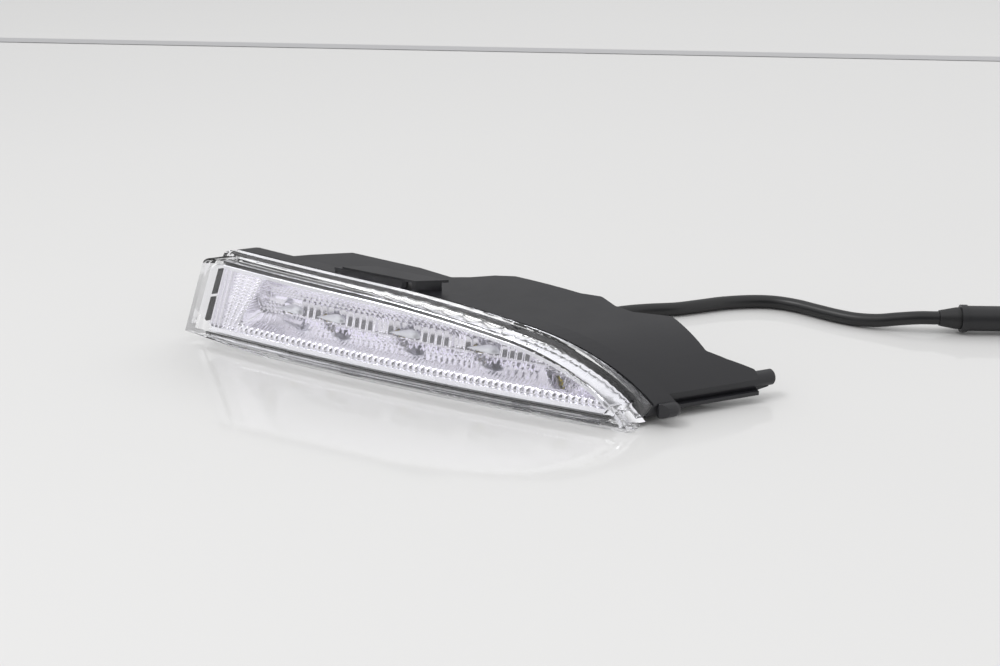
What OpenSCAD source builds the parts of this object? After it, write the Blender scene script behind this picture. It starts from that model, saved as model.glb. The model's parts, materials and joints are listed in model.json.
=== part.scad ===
// Daytime running light: a wedge-shaped lamp with a clear lens, five LED cells and a swept-back housing.
// The lens front follows a wide arc in plan. Everything behind it runs back along the draw direction,
// which lies at draw_angle to the lens. Sections across the draw direction are drawn in two coordinates:
// n, measured across the draw direction, and z, measured up.

/* [Lens] */
// Length of the lens from its lower left corner to its tip
lens_len = 240; // [225:1:290]
// Height of the rear rim of the lens at its left end
lens_h = 46.5; // [38:0.5:56]
// Radius of the lens front in plan
lens_sweep = 1300; // [1000:50:2600]
// Thickness of the lens wall
lens_wall = 2.2; // [1.6:0.1:3]
// Distance from the lens front to the back of its rim
lens_depth = 9.5; // [8:0.5:13]
// How far the rim stands out past the lens walls
rim_w = 2.8; // [2:0.1:4]
// Thickness of the rim
rim_t = 2.4; // [1.6:0.1:3.2]
// Height of the clear skirt that hangs below the lens walls
skirt_h = 3.2; // [2:0.2:5]

/* [Housing] */
// Angle in plan between the lens and the draw direction
draw_angle = 50; // [46:1:54]
// Distance from the lens front to the back wall
body_depth = 59; // [55:1:72]
// How much nearer the left part of the back wall is
left_step = 13.5; // [8:0.5:15]
// Thickness of the housing wall
wall = 2.2; // [1.6:0.1:3]
// How far the body lies inside the flange
body_inset = 5; // [4:0.2:6.5]
// Depth of the flange behind the seal
flange_t = 6.7; // [5:0.1:9]
// Thickness of the seal between lens and flange
seal_t = 0.8; // [0.5:0.1:1.6]
// Diameter of the rear peg
rear_peg_d = 7; // [5:0.5:9]
// Length of the rear peg
rear_peg_l = 11; // [8:0.5:16]
// Diameter of the front peg
front_peg_d = 6.6; // [5:0.2:8]
// Length of the straight part of the front peg
front_peg_l = 6.5; // [5:0.5:10]

/* [Tongue] */
// Length of the raised tongue on the flange
tongue_l = 38; // [25:1:50]
// Width of the tongue along the draw direction
tongue_w = 14.5; // [10:0.5:18]
// Thickness of the tongue
tongue_t = 1.2; // [0.8:0.1:2]

/* [Light] */
// Distance between the LEDs of the four right cells
led_pitch = 39.5; // [34:0.5:41]
// Distance between the LEDs of the two left cells
first_pitch = 23.5; // [18:0.5:28]
// Width of an LED package
led_w = 3.5; // [2.8:0.1:4]
// Height of the LEDs above the table
led_z = 18.8; // [17:0.2:21]
// Radius of the hood over an LED
hood_r = 6; // [4.5:0.5:7]
// Thickness of the reflector
mirror_t = 1.5; // [1.2:0.1:2.2]
// Thickness of the LED board
board_t = 1.6; // [1:0.1:2]
// Thickness of the heat sink plate
sink_t = 2.6; // [2:0.1:4]
// Depth of the heat sink fins
fin_l = 5; // [3:0.5:7]

/* [Driver] */
// Length of the driver board
driver_l = 54; // [48:1:58]
// Width of the driver board
driver_w = 18; // [16:0.5:19]
// Diameter of the inductor
coil_d = 9; // [6:0.5:10]
// Diameter of the capacitor
cap_d = 6.3; // [5:0.1:8]

/* [Cable] */
// Diameter of the cable sheath
cable_d = 6.4; // [5:0.2:8]
// Diameter of one core
core_d = 1.8; // [1.2:0.1:2.2]
// Diameter of the connector body
plug_d = 13; // [11:0.5:15]
// Length of the connector body behind the nut
plug_l = 22; // [16:1:28]

/* [Hidden] */

gap = 0.2;
seat = 0.1;
big = 400;
top_z = 80;
round_fn = 48;
sweep_fn = 720;

// Plan arc of the lens front: its foremost point and the depth of each layer behind it
apex_x = lens_len * 0.372;
rim_front = lens_depth - rim_t;
flange_front = lens_depth + seal_t;
flange_back = flange_front + flange_t;
function front_y(x) = lens_sweep - sqrt(pow(lens_sweep, 2) - pow(x - apex_x, 2));
function arc_turn(x) = asin((x - apex_x) / lens_sweep);
function draw_n(x, y) = x * sin(draw_angle) - y * cos(draw_angle);
function draw_x(n, y) = (n + y * cos(draw_angle)) / sin(draw_angle);
along = [cos(draw_angle), sin(draw_angle)];
across = [sin(draw_angle), -cos(draw_angle)];
function draw_point(n, depth) = let (from = n * across - [apex_x, lens_sweep], b = from * along)
    n * across - (b + sqrt(b * b - from * from + pow(lens_sweep - depth, 2))) * along;

// Upper outline of the rim across the draw direction: a sloping line, a wide arc and a tighter arc
top_slope = atan(0.038);
left_lean = 17.3;
shoulder_r = 294;
nose_r = 62.5;
corner_r = 5;
tuck_z = 9.5;
tuck = 0.46;
end_n = lens_len * sin(draw_angle) - 9.4;
shoulder_n = end_n - 97.8;
nose_n = end_n - 41.5;
shoulder_z = lens_h - shoulder_n * tan(top_slope);
shoulder_c = [shoulder_n - shoulder_r * sin(top_slope), shoulder_z - shoulder_r * cos(top_slope)];
nose_turn = asin((nose_n - shoulder_c.x) / shoulder_r);
nose_c = shoulder_c + (shoulder_r - nose_r) * [sin(nose_turn), cos(nose_turn)];

// Levels
wall_floor = skirt_h;
body_floor = skirt_h + 1;
cavity_floor = body_floor + wall;
side_n = end_n - 10.5;
lip_w = 1.6;
lip_low = body_floor - 0.4;
lip_z = body_floor + 1.4;

// Reflector section, as depth behind the lens front and height
mirror_front = lens_wall + 1.4;
shelf_front = mirror_front + 0.4;
mirror_back = 16.5;
hood_z = led_z + 2.2;
shelf_z = led_z - 2.6;
bead_z = wall_floor + lens_wall + 2.2;
dish_rise = lens_h - 6 - hood_z;
dish_run = mirror_back - mirror_front;
dish_r = (pow(dish_run, 2) + pow(dish_rise, 2)) / (2 * dish_run);
lip_t = 1.6;
rib_h = 3;
frame_inset = rim_w + lens_wall + gap;
mirror_inset = max(body_inset + wall, rim_w + lens_wall) + 2 * gap;
window_r = led_w * 0.75;

// Board stack behind the reflector
led_t = 0.8;
led_dome_r = 1.5;
board_front = mirror_back + mirror_t + 2 * gap + led_t;
sink_front = board_front + board_t + seat;
sink_back = sink_front + sink_t;
board_low = led_z - 6.5;
board_high = led_z + 8.2;
last_led_x = lens_len - 44;
function led_x(i) = last_led_x - (i > 0 ? (4 - i) * led_pitch : 3 * led_pitch + first_pitch);
board_left = led_x(0) - 8;
board_right = led_x(4) + 9;
sink_left = board_left + 4;
sink_right = board_right - 7;
fin_w = 1.4;
fin_count = 13;
fin_pitch = (sink_right - sink_left - fin_w - 0.6) / (fin_count - 1);
post_z = led_z + 4.6;
post_r = 3.4;
screw_r = 1.25;
post_xs = [for (i = [1, 2, 3]) (led_x(i) + led_x(i + 1)) / 2];
peg_z = led_z - 3.8;
peg_r = 1.2;

// Rear outline of the body in plan, from the left side to the right one
rear_left = body_depth - left_step;
rear_points = [
    [0, -20], [24, 17], [46, 25], [lens_len - 168.5, rear_left], [lens_len - 131, rear_left],
    [lens_len - 113.5, rear_left - 2.5], [lens_len - 106, rear_left + 2], [lens_len - 97.5, body_depth - 4],
    [lens_len - 89, body_depth], [lens_len - 56, body_depth], [lens_len - 47, body_depth + 2.6],
    [lens_len - 38.5, body_depth - 1.4], [lens_len - 30, body_depth - 1.4], [lens_len - 14.5, body_depth + 5.8],
    [lens_len - 4.5, body_depth + 1.5], [lens_len + 5.5, body_depth - 2.6], [lens_len + 14, body_depth + 0.8],
    [lens_len + 25.5, body_depth + 6.6], [lens_len + 31, body_depth + 0.5], [lens_len + 60, body_depth - 20],
    [lens_len + 60, -20]];

// Pegs along the draw direction
rear_peg_n = side_n - rear_peg_d / 2 - gap;
rear_peg_z = body_floor + 4.8;
rear_base_y = body_depth + 5.5;
rear_base = [draw_x(rear_peg_n, rear_base_y), rear_base_y];
front_peg_n = end_n - 2.5;
front_peg_z = 7.2;
front_peg = draw_point(front_peg_n, flange_front);
peg_chamfer = 0.8;

// Tongue, its bar and ribs
tongue_x = lens_len - 150.5;
tongue_y = flange_front + 0.6;
tongue_turn = 34;
tongue_top = lens_h + 1;
bar_top = lens_h + 0.2;
bar_w = 2.4;
bar_l = tongue_l - 3;
rib_w = 1.8;

// Feet under the back of the body
foot_w = 2.4;
foot_l = 14;
foot_xs = [lens_len - 160, lens_len - 70];

// Driver board and what stands on it
driver_x = lens_len - 92;
driver_y = body_depth - wall - 2 - driver_w;
driver_z = cavity_floor + 2.6;
driver_top = driver_z + 1.6;
driver_holes = [[4, driver_w / 2], [driver_l - 4, driver_w / 2]];
coil_at = [driver_x + 14, driver_y + driver_w / 2];
cap_at = [driver_x + 25, driver_y + driver_w / 2 - 4.5];
chip_at = [driver_x + 31.5, driver_y + 4.5];
header_at = [driver_x + driver_l - 14, driver_y + driver_w / 2 + 1.5];
header_h = 6;

// Gland, breather and cable
gland_x = lens_len - 77;
gland_z = 17;
gland_r = cable_d / 2 + 1.6;
gland_flange_r = gland_r + 2.6;
gland_l = 20;
breather_x = lens_len - 150;
breather_z = 22;
breather_r = 5;
tube_sides = 12;

// The finished part stands with its origin under the middle of the lamp
left_x = draw_point(skirt_h * tan(left_lean), 0).x;
right_x = rear_base.x + rear_peg_l * cos(draw_angle) + (rear_peg_d / 2 - peg_chamfer) * sin(draw_angle);
back_y = rear_base.y + rear_peg_l * sin(draw_angle) + (rear_peg_d / 2 - peg_chamfer) * cos(draw_angle);
centre = [(left_x + right_x) / 2, back_y / 2];
module place() translate([-centre.x, -centre.y, 0]) children();

// Route of the cable's centre line, from the gland to the boot, in the finished frame
route = [[24.9, 41.8, 17], [24.9, 47, 17], [25.2, 53.2, 15.6], [25.9, 59.7, 12.2], [27.2, 66.5, 8],
    [29.1, 73.2, 4.8], [31.9, 79.8, 3.5], [35.9, 85.7, 3.3], [41.2, 91.2, 3.3], [47.9, 96.7, 3.3],
    [57.6, 103.8, 3.3], [66.3, 113.2, 3.3], [74.4, 122.2, 3.3], [85.2, 130.7, 3.3], [95.7, 135.6, 3.3],
    [106.9, 136.6, 3.3], [117.7, 134.9, 3.3], [128.4, 133.2, 3.3], [138.9, 132.8, 3.4], [148.9, 134.4, 4.1],
    [157.9, 137.2, 5.6], [166.9, 140.2, 6.9], [175.4, 144.4, 7]];
plug_turn = 27;

// Swept and layered shapes
module swept() {
    rotate([90, 0, draw_angle - 90]) translate([0, 0, -big]) linear_extrude(big + 40) children();
}

module band(near, far, low = -1, high = top_z) {
    translate([apex_x, lens_sweep, low]) difference() {
        cylinder(r = lens_sweep - near, h = high - low, $fn = sweep_fn);
        translate([0, 0, -1]) cylinder(r = lens_sweep - far, h = high - low + 2, $fn = sweep_fn);
    }
}

module on_arc(x, depth, z) {
    translate([apex_x, lens_sweep, z]) rotate([0, 0, arc_turn(x)])
        translate([0, depth - lens_sweep, 0]) children();
}

module along_draw(from, z) {
    translate([from.x, from.y, z]) rotate([0, 0, draw_angle]) rotate([0, 90, 0]) children();
}

// Section across the draw direction, in n and z: the rim outline moved in by inset at the top and the
// nose, by side at the left, and cut off at floor_z
function lean(z, side) = z * tan(left_lean) + side / cos(left_lean);
function arc_run(centre, r, from, to, count) =
    [for (i = [0:count]) let (turn = from + (to - from) * i / count) centre + r * [sin(turn), cos(turn)]];
function reverse(list) = [for (i = [len(list) - 1:-1:0]) list[i]];
function unit(v) = v / norm(v);

module outline(inset, side, floor_z) {
    tucked = floor_z > wall_floor - 0.01 && floor_z < tuck_z;
    low_z = tucked ? tuck_z : floor_z;
    end_turn = acos((low_z - nose_c.y) / (nose_r - inset));
    nose = arc_run(nose_c, nose_r - inset, nose_turn, end_turn, 14);
    shoulder = arc_run(shoulder_c, shoulder_r - inset, top_slope, nose_turn, 8);
    tip = tucked ? [[nose[14].x - tuck * (tuck_z - floor_z), floor_z]] : [];
    corner_z = (lens_h - inset / cos(top_slope) - side / cos(left_lean) * tan(top_slope))
        / (1 + tan(left_lean) * tan(top_slope));
    corner_c = [lean(corner_z, side), corner_z] + corner_r * [cos(left_lean) - sin(top_slope),
        -sin(left_lean) - cos(top_slope)] / (1 + sin(left_lean - top_slope));
    polygon(concat([[lean(floor_z, side), floor_z]], tip, reverse(nose), [for (i = [7:-1:0]) shoulder[i]],
        reverse(arc_run(corner_c, corner_r, left_lean - 90, top_slope, 4))));
}

// Lens
module face_shape() {
    intersection() {
        outline(rim_w, 0, 0);
        polygon([[-5, skirt_h + 0.4], [40, 0], [big, 0], [big, top_z], [-5, top_z]]);
    }
}

module step_shape(level) {
    intersection() {
        outline(rim_w, 0.4, level);
        translate([8, level]) square([big, wall_floor - level]);
    }
}

module lens_hollow() {
    outline(rim_w + lens_wall, lens_wall, wall_floor + lens_wall);
}

module outer_lens() color([0.85, 0.87, 0.92, 0.35]) place() {
    intersection() {
        swept() face_shape();
        band(0, lens_wall);
    }
    intersection() {
        swept() difference() {
            outline(rim_w, 0, wall_floor);
            lens_hollow();
        }
        band(lens_wall, rim_front);
    }
    intersection() {
        swept() difference() {
            outline(0, 0, wall_floor);
            lens_hollow();
        }
        band(rim_front, lens_depth);
    }
    for (i = [1, 2]) intersection() {
        swept() step_shape(skirt_h * i / 3);
        band(lens_wall, lens_wall + 1.3 * i);
    }
}

module lens_seal() color([0.03, 0.03, 0.03]) place() intersection() {
    swept() difference() {
        outline(0.6, 0.6, wall_floor + 0.6);
        outline(rim_w + lens_wall - 0.5, lens_wall, wall_floor + lens_wall);
    }
    band(lens_depth + seat, flange_front - gap);
}

// Housing
module body_shape(inset) {
    intersection() {
        outline(body_inset + inset, body_inset + inset, body_floor + inset);
        translate([-50, 0]) square([50 + side_n - inset, top_z]);
    }
}

module plan_shape(inset) {
    linear_extrude(top_z) offset(delta = -inset) offset(r = -2, $fn = 32) offset(r = 4, $fn = 32)
        offset(r = -2, $fn = 32) polygon(rear_points);
}

module body_solid(inset) {
    intersection() {
        swept() body_shape(inset);
        plan_shape(inset);
        band(flange_front - (inset > 0 ? 1 : 0), big);
    }
}

module flange() {
    intersection() {
        swept() outline(0, 0, wall_floor);
        band(flange_front, flange_back);
    }
}

module side_lip() {
    intersection() {
        swept() translate([side_n - 2, lip_low]) square([2 + lip_w, lip_z - lip_low]);
        plan_shape(0);
        band(flange_back - 1, big);
    }
}

module peg(from, z, diameter, length) {
    along_draw(from, z) {
        cylinder(d = diameter, h = length - peg_chamfer, $fn = round_fn);
        translate([0, 0, length - peg_chamfer])
            cylinder(d1 = diameter, d2 = diameter - 2 * peg_chamfer, h = peg_chamfer, $fn = round_fn);
    }
}

module rear_peg() {
    root = 16;
    foot = rear_peg_z - body_floor - 0.4;
    from = rear_base - root * along;
    peg(from, rear_peg_z, rear_peg_d, rear_peg_l + root);
    translate([from.x, from.y, rear_peg_z]) rotate([0, 0, draw_angle]) rotate([90, 0, 0])
        translate([0, 0, -rear_peg_d * 0.3]) linear_extrude(rear_peg_d * 0.6)
            polygon([[0, 0], [0, -foot], [root + 2, -foot], [root + rear_peg_l - 3, -rear_peg_d / 2 + 0.2],
                [root + rear_peg_l - 3, 0]]);
}

module front_peg_solid() {
    r = front_peg_d / 2;
    along_draw(front_peg, front_peg_z) rotate_extrude($fn = round_fn)
        polygon(concat([[0, 0], [r, 0]], arc_run([0, front_peg_l], r, 90, 20, 7),
            [[0, front_peg_l + r * cos(20)]]));
}

module tongue_plan(from, length, width) {
    run = width * [cos(tongue_turn), sin(tongue_turn)];
    polygon([from, from + [length, 0], from + [length, 0] + run, from + run]);
}

// The tongue stays behind the seal, which follows the arc of the lens
module tongue() {
    foot_z = lens_h - 8;
    back = front_y(tongue_x + tongue_l) - gap / 2 - front_y(tongue_x) - tongue_y + flange_front;
    at = [tongue_x, front_y(tongue_x) + tongue_y + max(0, back)];
    translate([0, 0, tongue_top - tongue_t]) linear_extrude(tongue_t) tongue_plan(at, tongue_l, tongue_w);
    translate([0, 0, foot_z]) linear_extrude(bar_top - foot_z) tongue_plan(at - [4, 0.4], bar_l, bar_w);
    translate([0, 0, foot_z]) linear_extrude(tongue_top - tongue_t / 2 - foot_z)
        for (x = [0, tongue_l / 2, tongue_l - rib_w]) tongue_plan(at + [x, 0], rib_w, tongue_w - 3);
}

module posts() {
    for (x = post_xs) on_arc(x, sink_back + seat, post_z) rotate([-90, 0, 0])
        cylinder(r = post_r, h = 60, $fn = round_fn);
    for (h = driver_holes) translate([driver_x + h.x, driver_y + h.y, 1])
        cylinder(r = 3, h = driver_z - 1, $fn = round_fn);
}

module post_bores() {
    for (x = post_xs) on_arc(x, sink_back - 1, post_z) rotate([-90, 0, 0])
        cylinder(r = screw_r, h = 9, $fn = round_fn);
    for (h = driver_holes) translate([driver_x + h.x, driver_y + h.y, cavity_floor - 0.6])
        cylinder(r = screw_r, h = 10, $fn = round_fn);
}

module feet() {
    for (x = foot_xs) translate([x, body_depth - left_step - foot_l - 8, 0])
        cube([foot_w, foot_l, body_floor + 1]);
}

module housing() color([0.07, 0.07, 0.075]) place() difference() {
    union() {
        difference() {
            union() {
                flange();
                body_solid(0);
                side_lip();
            }
            body_solid(wall);
        }
        intersection() {
            posts();
            body_solid(wall / 2);
        }
        difference() {
            union() {
                rear_peg();
                intersection() {
                    front_peg_solid();
                    band(flange_front, big);
                }
            }
            body_solid(wall / 2);
        }
        difference() {
            tongue();
            body_solid(wall);
        }
        feet();
    }
    post_bores();
    translate([gland_x, body_depth - wall - 5, gland_z]) rotate([-90, 0, 0])
        cylinder(r = gland_r + gap, h = 20, $fn = round_fn);
    translate([breather_x, rear_left - wall - 5, breather_z]) rotate([-90, 0, 0])
        cylinder(r = breather_r - 2, h = 20, $fn = round_fn);
}

// Reflector
function dish(z, back = 0) = [mirror_back - dish_r + sqrt(pow(dish_r, 2) - pow(z - hood_z, 2)) + back, z];
function dish_points(back, high) = [for (i = [0:8]) dish(hood_z + (high - hood_z) * i / 8, back)];

module mirror_section(forward, back) {
    high = lens_h - 6;
    polygon(concat(dish_points(-forward, high), reverse(dish_points(back, high)),
        [[mirror_back + back, shelf_z - back], [mirror_front + 6, bead_z + 1.6 - back / 2],
        [shelf_front, bead_z - back / 2], [shelf_front, bead_z + back / 2],
        [mirror_front + 5.4, bead_z + 1.6 + back / 2], [mirror_back - forward, shelf_z + 0.4]]));
}

module revolve_arc(x_low, x_high) {
    translate([apex_x, lens_sweep, 0]) rotate([0, 0, arc_turn(x_low) - 90])
        rotate_extrude(angle = arc_turn(x_high) - arc_turn(x_low), $fn = sweep_fn * 2)
            mirror([1, 0]) translate([-lens_sweep, 0]) children();
}

module recess_side(shift) {
    low = [draw_n(lens_len * 0.108, 6) + shift, bead_z - 1];
    high = low + [(top_z - low.y) * 0.47, top_z - low.y];
    polygon([[-50, low.y], low, high, [-50, high.y]]);
}

module mirror_outline(extra) {
    outline(mirror_inset + extra, mirror_inset + extra, bead_z - 0.4 + extra);
}

module mirror_dish() {
    intersection() {
        revolve_arc(-5, lens_len + 40) mirror_section(0, mirror_t);
        swept() difference() {
            mirror_outline(0);
            recess_side(0);
        }
    }
}

module mirror_ribs() {
    edges = concat([led_x(0) + first_pitch / 2 - 2], [for (i = [1, 2, 3]) led_x(i) + led_pitch / 2 + 1]);
    intersection() {
        union() for (x = edges) revolve_arc(x, x + 1.4) mirror_section(rib_h, mirror_t);
        swept() mirror_outline(0);
    }
}

module mirror_frame() {
    intersection() {
        swept() difference() {
            mirror_outline(0);
            mirror_outline(mirror_t);
            recess_side(0);
        }
        band(mirror_front, mirror_back - 3);
    }
    intersection() {
        swept() difference() {
            outline(frame_inset, lens_wall + gap, bead_z - 0.4);
            difference() {
                mirror_outline(mirror_t);
                recess_side(0);
            }
        }
        band(mirror_front, mirror_front + lip_t);
    }
    intersection() {
        swept() difference() {
            intersection() {
                recess_side(mirror_t);
                mirror_outline(0);
            }
            recess_side(0);
        }
        band(mirror_front, mirror_back + mirror_t);
    }
}

module hood(i) {
    on_arc(led_x(i) + hood_r * 0.5, mirror_back + 0.4, hood_z - 1.6) difference() {
        sphere(r = hood_r, $fn = round_fn);
        sphere(r = hood_r - 1.1, $fn = round_fn);
        translate([-hood_r - 1, -hood_r - 1, -2 * hood_r])
            cube([2 * hood_r + 2, 2 * hood_r + 2, 2 * hood_r + 0.4]);
        translate([-hood_r - 1, 0, -1]) cube([2 * hood_r + 2, hood_r + 2, hood_r + 2]);
    }
}

module reflector() color([0.8, 0.8, 0.82]) place() {
    difference() {
        union() {
            mirror_dish();
            mirror_ribs();
            mirror_frame();
            for (x = [post_xs[0], post_xs[2]]) on_arc(x, mirror_back + 0.5, peg_z) rotate([-90, 0, 0]) {
                cylinder(r = 2.2, h = board_front - mirror_back - 0.5, $fn = round_fn);
                cylinder(r = peg_r, h = sink_front - mirror_back - 0.5, $fn = round_fn);
            }
        }
        for (i = [0:4]) on_arc(led_x(i), mirror_back - 4, led_z) rotate([-90, 0, 0])
            cylinder(r = window_r, h = 8, $fn = round_fn);
    }
    for (i = [0:4]) hood(i);
}

// LEDs and their board
module led(i) color([0.95, 0.85, 0.35]) place() on_arc(led_x(i), board_front, led_z) {
    translate([-led_w / 2, -led_t, -led_w / 2]) cube([led_w, led_t, led_w]);
    intersection() {
        translate([0, -led_t + 0.3, 0]) sphere(r = led_dome_r, $fn = round_fn);
        translate([-3, -led_t - 3, -3]) cube([6, 3.2, 6]);
    }
}

module led_1() led(0);
module led_2() led(1);
module led_3() led(2);
module led_4() led(3);
module led_5() led(4);

module board_band(near, far, left, right) {
    intersection() {
        band(near, far, board_low, board_high);
        translate([left, -10, 0]) cube([right - left, 80, top_z]);
        swept() mirror_outline(0.4);
    }
}

module board_holes() {
    for (x = post_xs) on_arc(x, board_front - 2, post_z) rotate([-90, 0, 0])
        cylinder(r = screw_r + gap, h = 12, $fn = round_fn);
}

module led_board() color([0.9, 0.9, 0.88]) place() difference() {
    board_band(board_front, board_front + board_t, board_left, board_right);
    board_holes();
    for (x = [post_xs[0], post_xs[2]]) on_arc(x, board_front - 2, peg_z) rotate([-90, 0, 0])
        cylinder(r = peg_r + 0.1, h = 8, $fn = round_fn);
}

module heat_sink() color([0.72, 0.73, 0.75]) place() difference() {
    union() {
        board_band(sink_front, sink_back, sink_left, sink_right);
        intersection() {
            union() for (i = [0:fin_count - 1]) let (x = sink_left + fin_w / 2 + 0.3 + i * fin_pitch)
                if (min([for (p = post_xs) abs(p - x)]) > post_r + 1) on_arc(x, sink_back - 1, board_low + 0.5)
                    translate([-fin_w / 2, 0, 0]) cube([fin_w, fin_l + 1, board_high - board_low - 1]);
            body_solid(wall + 0.6);
        }
    }
    board_holes();
}

module pan_screw(length, head) {
    translate([0, 0, -head]) cylinder(r = 2.4, h = head, $fn = round_fn);
    cylinder(r = screw_r - 0.02, h = length, $fn = round_fn);
}

module board_screws() color([0.6, 0.6, 0.58]) place()
    for (x = post_xs) on_arc(x, board_front, post_z) rotate([-90, 0, 0])
        pan_screw(board_t + sink_t + 6, led_t + gap);

// Driver
module driver_board() color([0.1, 0.3, 0.14]) place() difference() {
    translate([driver_x, driver_y, driver_z]) cube([driver_l, driver_w, 1.6]);
    for (h = driver_holes) translate([driver_x + h.x, driver_y + h.y, driver_z - 1])
        cylinder(r = screw_r + gap, h = 4, $fn = round_fn);
}

module driver_screws() color([0.6, 0.6, 0.58]) place()
    for (h = driver_holes) translate([driver_x + h.x, driver_y + h.y, driver_top]) rotate([180, 0, 0])
        pan_screw(driver_top - cavity_floor + 0.4, 1.5);

module inductor() color([0.15, 0.15, 0.16]) place()
    translate([coil_at.x, coil_at.y, driver_top]) difference() {
        cylinder(d = coil_d, h = 5.5, $fn = round_fn);
        translate([0, 0, 1.2]) difference() {
            cylinder(d = coil_d + 2, h = 3.1, $fn = round_fn);
            cylinder(d = coil_d - 1.6, h = 3.1, $fn = round_fn);
        }
    }

module capacitor() color([0.7, 0.7, 0.72]) place() translate([cap_at.x, cap_at.y, driver_top]) {
    cylinder(d = cap_d, h = 7.2, $fn = round_fn);
    translate([-cap_d / 2, -cap_d / 2, 0]) cube([cap_d, cap_d, 0.8]);
}

module driver_chip() color([0.08, 0.08, 0.08]) place() translate([chip_at.x, chip_at.y, driver_top]) {
    translate([-2.5, -2, 0.15]) cube([5, 4, 1.5]);
    for (i = [0:3], s = [-1, 1]) translate([-2.1 + i * 1.27, s * 2.5 - 0.6, 0]) cube([0.45, 1.2, 0.5]);
}

module wire_header() color([0.92, 0.9, 0.84]) place() translate([header_at.x, header_at.y, driver_top])
    difference() {
        translate([-6, -3, 0]) cube([12, 6, header_h]);
        for (x = [-3.75, -1.25, 1.25, 3.75]) translate([x, 0, header_h - 3])
            cylinder(d = core_d + seat, h = 4, $fn = 24);
    }

// A wire in straight runs with a ball at each bend; the ball's seam faces away from both runs
module lead(points, diameter) {
    for (i = [0:len(points) - 2]) let (run = points[i + 1] - points[i], l = norm(run))
        translate(points[i]) rotate([0, acos(run.z / l), atan2(run.y, run.x)])
            cylinder(d = diameter, h = l, $fn = 24);
    for (i = [1:len(points) - 2]) let (out = unit(points[i] - points[i - 1]) - unit(points[i + 1] - points[i]))
        translate(points[i]) rotate([0, 0, atan2(out.y, out.x)]) sphere(d = diameter + 0.1, $fn = 24);
}

function header_pin(x) = [header_at.x + x, header_at.y, driver_top + header_h - 3];
module supply_lead(pin_x, side, lane) {
    pin = header_pin(pin_x);
    over = driver_top + header_h + core_d / 2 + 0.4;
    exit = [gland_x + side, body_depth - wall - 2 - seat, over];
    run = pin.y + lane;
    across = lane > 0 ? [[pin.x, run, over]] : [];
    lead(concat([exit, [exit.x, run, over]], across, [[pin.x, pin.y, over], pin]), core_d);
}

module led_lead(pin_x, level) {
    pin = header_pin(pin_x);
    pad_x = board_right - 3.5;
    pad = [pad_x, front_y(pad_x) + sink_front + gap, driver_top + header_h + level];
    lead([pin, [pin.x, pin.y, pad.z], [pad.x, pin.y, pad.z], pad], core_d);
}

module supply_lead_red() color([0.6, 0.05, 0.05]) place() supply_lead(-3.75, -1.2, 0);
module supply_lead_black() color([0.05, 0.05, 0.05]) place() supply_lead(-1.25, 1.2, 3.5);
module led_lead_red() color([0.6, 0.05, 0.05]) place() led_lead(1.25, 4.6);
module led_lead_black() color([0.05, 0.05, 0.05]) place() led_lead(3.75, 1.6);

// What sits in the back wall
module breather_cap() color([0.05, 0.05, 0.05]) place()
    translate([breather_x, rear_left, breather_z]) rotate([-90, 0, 0]) difference() {
        union() {
            cylinder(r = breather_r, h = 2.4, $fn = round_fn);
            translate([0, 0, -wall - 0.8]) cylinder(r = breather_r - 2, h = wall + 1, $fn = round_fn);
        }
        translate([0, 0, 1.6]) cylinder(r = breather_r - 1.2, h = 2, $fn = round_fn);
    }

module cable_gland() color([0.04, 0.04, 0.04]) place()
    translate([gland_x, body_depth, gland_z]) rotate([-90, 0, 0]) {
        translate([0, 0, -wall - 2]) cylinder(r = gland_r + 1, h = 2, $fn = round_fn);
        translate([0, 0, -wall - 0.1]) cylinder(r = gland_r, h = wall + 1, $fn = round_fn);
        cylinder(r = gland_flange_r, h = 1.8, $fn = round_fn);
        translate([0, 0, 1.7])
            cylinder(r1 = gland_r + 0.8, r2 = cable_d / 2 + 0.5, h = gland_l - 1.7, $fn = round_fn);
    }

// Cable and connector
function run_at(i) = unit(route[min(i + 1, len(route) - 1)] - route[max(i - 1, 0)]);
function ring(i, r) = let (t = run_at(i), s = unit(cross(t, [0, 0, 1])), u = cross(s, t))
    [for (k = [0:tube_sides - 1]) let (turn = 360 * k / tube_sides)
        route[i] + r * (cos(turn) * s + sin(turn) * u)];

module cable() color([0.05, 0.05, 0.055]) {
    n = len(route);
    m = tube_sides;
    points = [for (i = [0:n - 1]) each ring(i, cable_d / 2)];
    sides = [for (i = [0:n - 2], k = [0:m - 1]) let (a = i * m, b = (k + 1) % m)
        [a + k, a + b, a + m + b, a + m + k]];
    first = [for (k = [m - 1:-1:0]) k];
    last = [for (k = [0:m - 1]) (n - 1) * m + k];
    polyhedron(points, concat([first], sides, [last]));
}

module at_plug(s) {
    end = route[len(route) - 1];
    translate(end) rotate([0, 0, plug_turn]) rotate([0, 90, 0]) translate([0, 0, s + seat]) children();
}

boot_l = 10;
nut_l = 15;
core_l = nut_l - 2;
pin_l = 8;
pin_r = 0.9;
module contacts() for (side = [-1, 1]) translate([side * 1.7, 0, plug_l + core_l - pin_l]) children();

module plug_boot() color([0.05, 0.05, 0.05]) at_plug(0) {
    cylinder(d1 = cable_d + 1, d2 = plug_d - 2.6, h = boot_l - 2, $fn = round_fn);
    translate([0, 0, boot_l - 2]) cylinder(d = plug_d - 2.6, h = 2, $fn = round_fn);
}

module plug_body() color([0.06, 0.06, 0.06]) at_plug(boot_l) {
    cylinder(d = plug_d - 1, h = plug_l, $fn = round_fn);
    cylinder(d = plug_d, h = 3, $fn = round_fn);
    difference() {
        translate([0, 0, plug_l - 0.1]) cylinder(d = plug_d - 4.4, h = core_l + 0.1, $fn = round_fn);
        contacts() cylinder(r = pin_r, h = pin_l + 1, $fn = 24);
    }
}

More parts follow.
